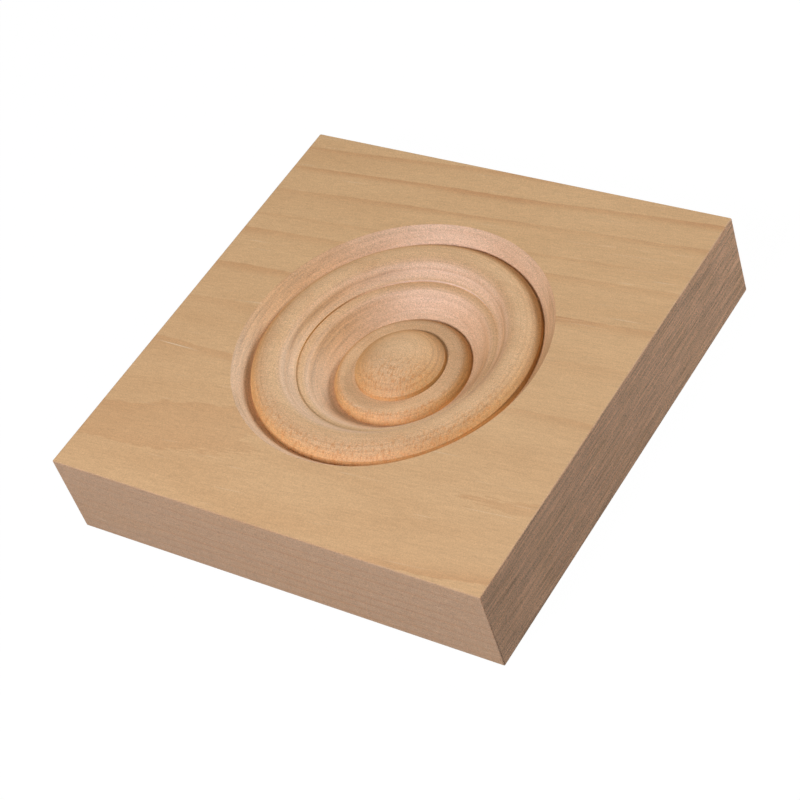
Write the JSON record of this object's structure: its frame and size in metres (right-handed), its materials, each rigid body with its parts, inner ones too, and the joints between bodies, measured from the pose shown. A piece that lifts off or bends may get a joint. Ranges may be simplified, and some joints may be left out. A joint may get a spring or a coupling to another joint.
{
  "type": "corner rosette block",
  "caption": "Square wooden trim block with a turned rosette sunk in its face: bevelled rim, round bead, step, bowl, ring and domed button, for the corners of door and window casing.",
  "frame": {"origin": "middle of the flat back face", "axes": "+Z out of the turned face, along the rosette's axis; X along the grain; Y across the grain"},
  "size_m": [0.0952, 0.0952, 0.0188],
  "materials": {
    "sanded_wood": "sanded, unfinished pale hardwood with its grain along X"
  },
  "bodies": {
    "root": {"rosette_block": "sanded_wood"}
  },
  "joints": []
}
